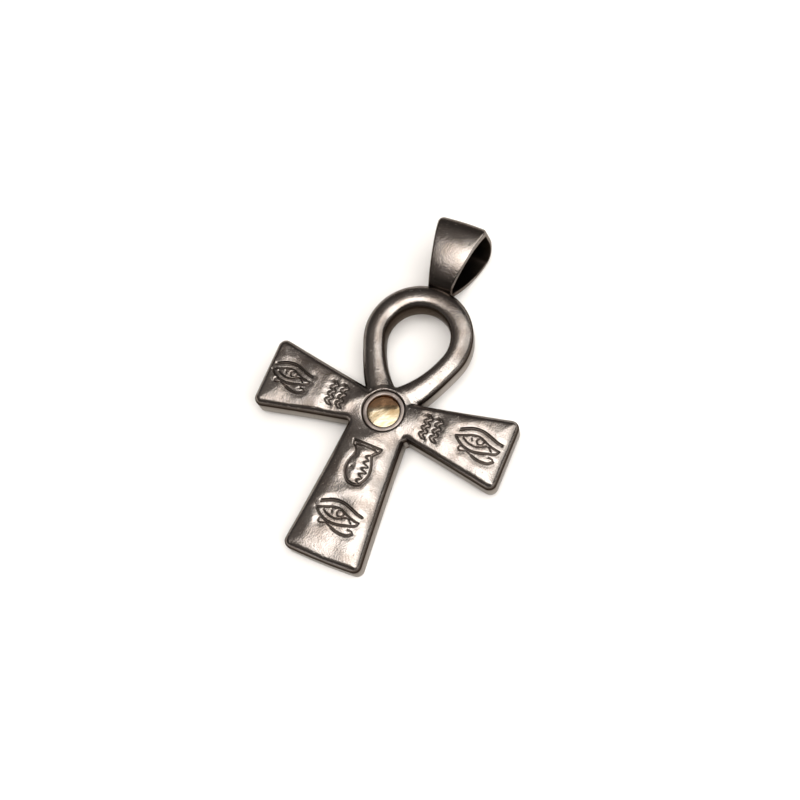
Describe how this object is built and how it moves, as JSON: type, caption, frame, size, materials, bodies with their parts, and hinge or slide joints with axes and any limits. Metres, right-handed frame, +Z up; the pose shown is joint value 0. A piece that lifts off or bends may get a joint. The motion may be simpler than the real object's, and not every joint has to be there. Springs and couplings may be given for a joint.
{
  "type": "ankh pendant",
  "caption": "Cast steel ankh pendant: cross with flared arms, teardrop loop and tapered bail, engraved eyes, ripples and jar, and a round gold-toned inlay in a bezel.",
  "frame": {"origin": "on the surface the pendant lies on, under the middle of its bounding box", "axes": "+Y along the pendant from the foot of the cross to the bail, +X along the arms, +Z up from the surface; the pendant leans about X by 4.62 degrees because its bail reaches behind its flat back"},
  "size_m": [0.0368, 0.0528, 0.0096],
  "materials": {
    "steel": "polished cast steel, slightly worn, grooves darkened",
    "bezel_steel": "satin steel",
    "gold": "pale gold tone, polished"
  },
  "bodies": {
    "root": {"ankh_body": "steel", "bezel_ring": "bezel_steel", "gold_disc": "gold"}
  },
  "joints": []
}
